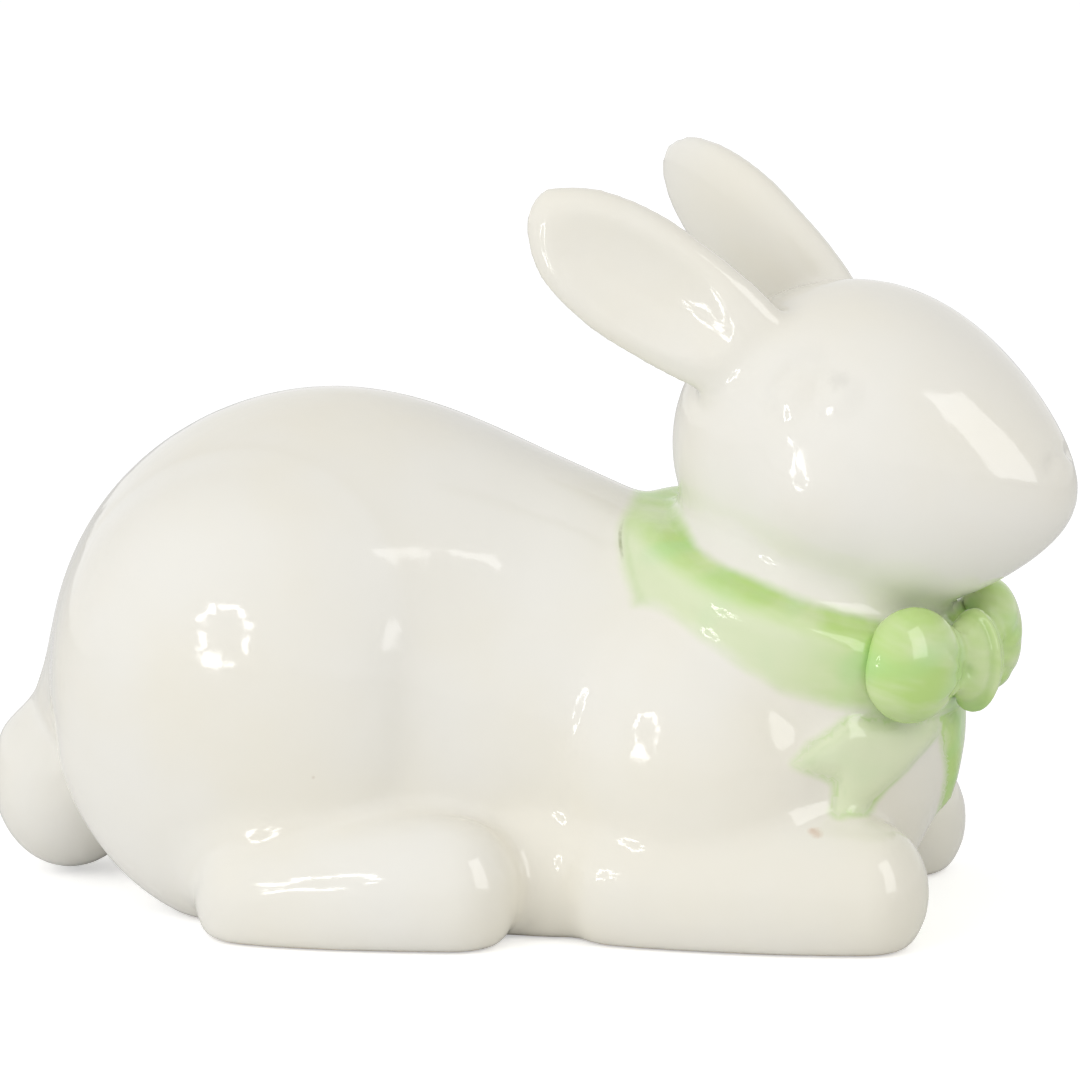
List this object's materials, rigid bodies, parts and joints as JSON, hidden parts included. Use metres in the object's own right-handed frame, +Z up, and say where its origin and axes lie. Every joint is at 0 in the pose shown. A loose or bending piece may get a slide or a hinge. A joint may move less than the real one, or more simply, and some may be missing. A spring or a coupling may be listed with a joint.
{
  "type": "ceramic rabbit figurine",
  "caption": "Lying rabbit figurine in glossy off-white glazed earthenware, head turned to its right, ears back, with a raised green ribbon and bow round its neck.",
  "frame": {"origin": "on the flat base, in the rabbit's middle plane, near the middle of its length", "axes": "+X forward along the body towards the paws, +Y to the rabbit's left, +Z up"},
  "size_m": [0.1544, 0.0824, 0.1046],
  "materials": {
    "white_glaze": "gloss, creamy off-white over earthenware",
    "green_glaze": "gloss, brushed yellow-green thinning to white at the edges"
  },
  "bodies": {
    "root": {"body_casting": "white_glaze", "head_casting": "white_glaze", "left_ear": "white_glaze", "right_ear": "white_glaze", "left_foreleg": "white_glaze", "right_foreleg": "white_glaze", "left_hind_foot": "white_glaze", "right_hind_foot": "white_glaze", "tail": "white_glaze", "neck_ribbon": "green_glaze", "bow_knot": "green_glaze", "left_bow_loop": "green_glaze", "right_bow_loop": "green_glaze", "left_ribbon_tail": "green_glaze", "right_ribbon_tail": "green_glaze"}
  },
  "joints": []
}
